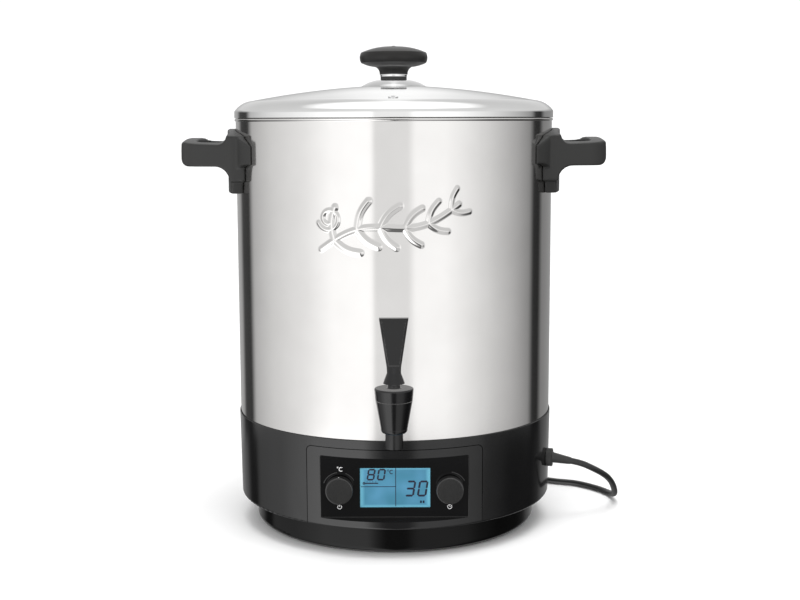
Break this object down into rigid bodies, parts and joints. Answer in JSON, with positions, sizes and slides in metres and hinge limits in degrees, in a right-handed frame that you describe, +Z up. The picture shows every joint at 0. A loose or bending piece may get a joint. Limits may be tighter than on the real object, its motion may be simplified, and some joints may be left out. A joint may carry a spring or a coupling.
{
  "type": "electric all in one brewer",
  "caption": "Electric stainless steel boiler pot with lift-off lid, side handles, drain tap, black base with display and dials, and mains cord.",
  "frame": {"origin": "on the axis of the pot, in the plane that the foot rests on", "axes": "+Z up along the axis of the pot; the control panel and the tap face -Y; the mains cord leaves on the +X side"},
  "size_m": [0.4934, 0.5304, 0.5292],
  "materials": {
    "pot_steel": "mirror-polished stainless sheet",
    "lid_steel": "mirror-polished stainless sheet",
    "chrome_trim": "polished",
    "fastener_steel": "zinc plated",
    "gloss_black": "high gloss moulded",
    "panel_black": "printed gloss window",
    "knob_black": "gloss",
    "tap_black": "gloss moulded",
    "handle_black": "satin moulded phenolic",
    "lid_knob_black": "satin moulded phenolic",
    "foot_black": "gloss moulded",
    "rubber_black": "matt",
    "silicone_white": "satin silicone",
    "lcd_blue": "backlit display",
    "lcd_frame": "moulded",
    "board_green": "solder mask",
    "component_dark": "moulded",
    "lead_sleeve": "pvc sleeve",
    "ribbon_grey": "pvc",
    "spreader_aluminium": "rolled",
    "element_sheath": "annealed",
    "encoder_metal": "stamped",
    "cord_black": "satin pvc",
    "plug_black": "satin pvc",
    "pin_nickel": "nickel plated brass"
  },
  "bodies": {
    "housing": {"pot_vessel": "pot_steel", "heat_spreader_disc": "spreader_aluminium", "heating_element": "element_sheath", "element_terminals": "fastener_steel", "ntc_sensor": "fastener_steel", "thermal_cutout": "component_dark", "earth_screw": "fastener_steel", "base_shell": "gloss_black", "foot_plate": "foot_black", "rubber_foot_ring": "rubber_black", "bottom_screws": "fastener_steel", "panel_bezel": "gloss_black", "panel_window": "panel_black", "lcd_glass": "lcd_blue", "lcd_module": "lcd_frame", "control_board": "board_green", "panel_screws": "fastener_steel", "temp_encoder_body": "encoder_metal", "timer_encoder_body": "encoder_metal", "power_board": "board_green", "power_board_components": "component_dark", "ribbon_cable": "ribbon_grey", "internal_leads": "lead_sleeve", "terminal_block": "lcd_frame", "left_handle": "handle_black", "right_handle": "handle_black", "handle_screws": "fastener_steel", "handle_washers": "silicone_white", "tap_body": "tap_black", "tap_bonnet": "tap_black", "tap_outer_gasket": "rubber_black", "tap_inner_gasket": "silicone_white", "tap_nut": "tap_black", "tap_lever_pin": "fastener_steel", "cord_gland": "rubber_black", "mains_cord": "cord_black", "mains_cord_coil": "cord_black", "mains_cord_tail": "cord_black", "cord_tie": "rubber_black", "plug_body": "plug_black", "plug_pins": "pin_nickel"},
    "lid": {"lid_shell": "lid_steel", "lid_knob": "lid_knob_black", "lid_knob_collar": "chrome_trim", "lid_knob_ring": "chrome_trim", "lid_knob_seal": "rubber_black", "lid_knob_screw": "fastener_steel", "lid_knob_washer": "fastener_steel", "steam_vent_eyelet": "chrome_trim"},
    "rack": {"jar_rack": "pot_steel"},
    "tap_handle": {"tap_lever": "tap_black"},
    "tap_valve": {"tap_stem": "fastener_steel", "tap_seat_cup": "silicone_white", "tap_spring": "fastener_steel"},
    "temp_plunger": {"temp_encoder_plunger": "component_dark"},
    "timer_plunger": {"timer_encoder_plunger": "component_dark"},
    "temp_dial": {"temp_knob": "knob_black", "temp_shaft": "spreader_aluminium"},
    "timer_dial": {"timer_knob": "knob_black", "timer_shaft": "spreader_aluminium"}
  },
  "joints": [
    {"name": "lid_lift", "type": "slide", "parent": "housing", "child": "lid", "axis": [0, 0, 1], "range_m": [0, 0.15]},
    {"name": "rack_lift", "type": "slide", "parent": "housing", "child": "rack", "axis": [0, 0, 1], "range_m": [0, 0.24]},
    {"name": "tap_lever_tilt", "type": "hinge", "parent": "housing", "child": "tap_handle", "pos_m": [0, -0.208, 0.1955], "axis": [1, 0, 0], "range_deg": [0, 25], "stiffness_Nm_per_rad": 0.08},
    {"name": "tap_stem_lift", "type": "slide", "parent": "housing", "child": "tap_valve", "axis": [0, 0, 1], "range_m": [0, 0.0041], "deforming": ["tap_spring"]},
    {"name": "temp_knob_press", "type": "slide", "parent": "housing", "child": "temp_plunger", "axis": [0, 1, 0], "range_m": [0, 0.0015], "stiffness_N_per_m": 600},
    {"name": "temp_knob_turn", "type": "hinge", "parent": "temp_plunger", "child": "temp_dial", "pos_m": [-0.057, -0.159, 0.0704], "axis": [0, 1, 0], "continuous": true},
    {"name": "timer_knob_press", "type": "slide", "parent": "housing", "child": "timer_plunger", "axis": [0, 1, 0], "range_m": [0, 0.0015], "stiffness_N_per_m": 600},
    {"name": "timer_knob_turn", "type": "hinge", "parent": "timer_plunger", "child": "timer_dial", "pos_m": [0.057, -0.159, 0.0704], "axis": [0, 1, 0], "continuous": true}
  ],
  "couplings": [
    {"joint": "tap_stem_lift", "follows": "tap_lever_tilt", "m_per_rad": 0.009167}
  ]
}
